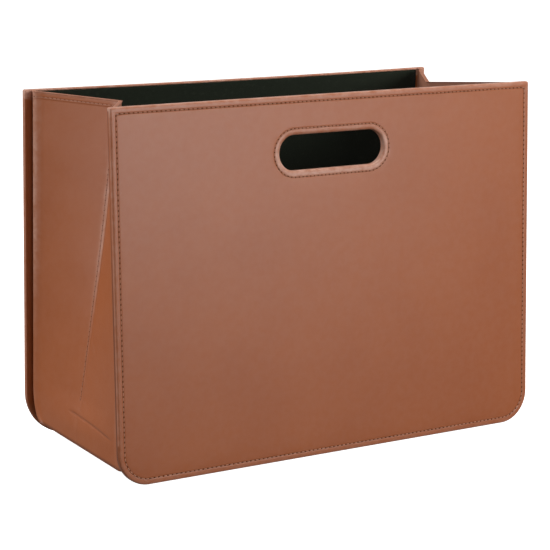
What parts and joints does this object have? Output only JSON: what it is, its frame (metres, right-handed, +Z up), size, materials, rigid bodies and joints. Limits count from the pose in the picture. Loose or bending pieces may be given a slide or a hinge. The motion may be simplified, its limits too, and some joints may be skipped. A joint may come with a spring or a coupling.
{
  "type": "magazine file holder",
  "caption": "Folding open-top magazine holder: two leather-covered panels with hand slots, pleated side gussets and a raised base; closes flat.",
  "frame": {"origin": "on the floor, under the middle of the holder", "axes": "+X along the panels' width, -Y towards the front panel, +Z up"},
  "size_m": [0.38, 0.1654, 0.28],
  "materials": {
    "panel_leather": "tan smooth imitation leather, satin",
    "gusset_leather": "tan smooth imitation leather, satin",
    "base_leather": "brown imitation leather, satin",
    "gusset_lining": "grey-brown backing, matt",
    "felt": "black felt, matt",
    "base_felt": "black felt, matt",
    "card": "grey-brown pressed card, matt",
    "thread": "brown twisted thread"
  },
  "bodies": {
    "back_panel": {"back_panel_cover": "panel_leather", "back_panel_board": "card", "back_panel_felt": "felt", "back_edge_stitching": "thread", "back_slot_stitching": "thread", "base_skin": "base_leather"},
    "base_rear": {"back_base_board": "card", "back_base_lining": "base_felt"},
    "base_front": {"front_base_board": "card", "front_base_lining": "base_felt"},
    "front_panel": {"front_panel_cover": "panel_leather", "front_panel_board": "card", "front_panel_felt": "felt", "front_edge_stitching": "thread", "front_slot_stitching": "thread"},
    "left_rear_gusset_lower": {"left_rear_gusset_lower_leather": "gusset_leather", "left_rear_gusset_lower_lining": "gusset_lining"},
    "left_rear_gusset_upper": {"left_rear_gusset_upper_leather": "gusset_leather", "left_rear_gusset_upper_lining": "gusset_lining", "left_rear_hem_stitching": "thread", "left_rear_crease_stitching": "thread"},
    "left_front_gusset_lower": {"left_front_gusset_lower_leather": "gusset_leather", "left_front_gusset_lower_lining": "gusset_lining"},
    "left_front_gusset_upper": {"left_front_gusset_upper_leather": "gusset_leather", "left_front_gusset_upper_lining": "gusset_lining", "left_front_hem_stitching": "thread"},
    "right_rear_gusset_lower": {"right_rear_gusset_lower_leather": "gusset_leather", "right_rear_gusset_lower_lining": "gusset_lining"},
    "right_rear_gusset_upper": {"right_rear_gusset_upper_leather": "gusset_leather", "right_rear_gusset_upper_lining": "gusset_lining", "right_rear_hem_stitching": "thread", "right_rear_crease_stitching": "thread"},
    "right_front_gusset_lower": {"right_front_gusset_lower_leather": "gusset_leather", "right_front_gusset_lower_lining": "gusset_lining"},
    "right_front_gusset_upper": {"right_front_gusset_upper_leather": "gusset_leather", "right_front_gusset_upper_lining": "gusset_lining", "right_front_hem_stitching": "thread"}
  },
  "joints": [
    {"name": "base_fold", "type": "hinge", "parent": "back_panel", "child": "base_rear", "pos_m": [0, 0.07651, 0.0182], "axis": [-1, 0, 0], "range_deg": [0, 75], "deforming": ["base_skin"]},
    {"name": "base_centre_fold", "type": "hinge", "parent": "base_rear", "child": "base_front", "pos_m": [0, 0, 0.015], "axis": [-1, 0, 0], "range_deg": [-153.69, 0]},
    {"name": "front_panel_fold", "type": "hinge", "parent": "base_front", "child": "front_panel", "pos_m": [0, -0.07651, 0.0182], "axis": [-1, 0, 0], "range_deg": [0, 75]},
    {"name": "left_rear_gusset_fold", "type": "hinge", "parent": "back_panel", "child": "left_rear_gusset_lower", "pos_m": [-0.183, 0.07708, 0.013], "axis": [0, -0.0321, 0.9995], "range_deg": [0, 76.64]},
    {"name": "left_rear_gusset_flatten", "type": "hinge", "parent": "left_rear_gusset_lower", "child": "left_rear_gusset_upper", "pos_m": [-0.183, 0.06864, 0.2755], "axis": [0.0018, -0.253, -0.9675], "range_deg": [0, 33.16]},
    {"name": "left_front_gusset_fold", "type": "hinge", "parent": "front_panel", "child": "left_front_gusset_lower", "pos_m": [-0.183, -0.07708, 0.013], "axis": [0, -0.0321, -0.9995], "range_deg": [0, 76.64]},
    {"name": "left_front_gusset_flatten", "type": "hinge", "parent": "left_front_gusset_lower", "child": "left_front_gusset_upper", "pos_m": [-0.183, -0.06864, 0.2755], "axis": [-0.0018, -0.253, 0.9675], "range_deg": [0, 33.16]},
    {"name": "right_rear_gusset_fold", "type": "hinge", "parent": "back_panel", "child": "right_rear_gusset_lower", "pos_m": [0.183, 0.07708, 0.013], "axis": [0, 0.0321, -0.9995], "range_deg": [0, 76.64]},
    {"name": "right_rear_gusset_flatten", "type": "hinge", "parent": "right_rear_gusset_lower", "child": "right_rear_gusset_upper", "pos_m": [0.183, 0.06864, 0.2755], "axis": [0.0018, 0.253, 0.9675], "range_deg": [0, 33.16]},
    {"name": "right_front_gusset_fold", "type": "hinge", "parent": "front_panel", "child": "right_front_gusset_lower", "pos_m": [0.183, -0.07708, 0.013], "axis": [0, 0.0321, 0.9995], "range_deg": [0, 76.64]},
    {"name": "right_front_gusset_flatten", "type": "hinge", "parent": "right_front_gusset_lower", "child": "right_front_gusset_upper", "pos_m": [0.183, -0.06864, 0.2755], "axis": [-0.0018, 0.253, -0.9675], "range_deg": [0, 33.16]}
  ],
  "couplings": [
    {"joint": "base_centre_fold", "follows": "base_fold", "ratio": -2.0491},
    {"joint": "front_panel_fold", "follows": "base_fold", "ratio": 1},
    {"joint": "left_rear_gusset_fold", "follows": "base_fold", "ratio": 1.0217},
    {"joint": "left_rear_gusset_flatten", "follows": "base_fold", "ratio": 0.442},
    {"joint": "left_front_gusset_fold", "follows": "base_fold", "ratio": 1.0217},
    {"joint": "left_front_gusset_flatten", "follows": "base_fold", "ratio": 0.442},
    {"joint": "right_rear_gusset_fold", "follows": "base_fold", "ratio": 1.0217},
    {"joint": "right_rear_gusset_flatten", "follows": "base_fold", "ratio": 0.442},
    {"joint": "right_front_gusset_fold", "follows": "base_fold", "ratio": 1.0217},
    {"joint": "right_front_gusset_flatten", "follows": "base_fold", "ratio": 0.442}
  ]
}
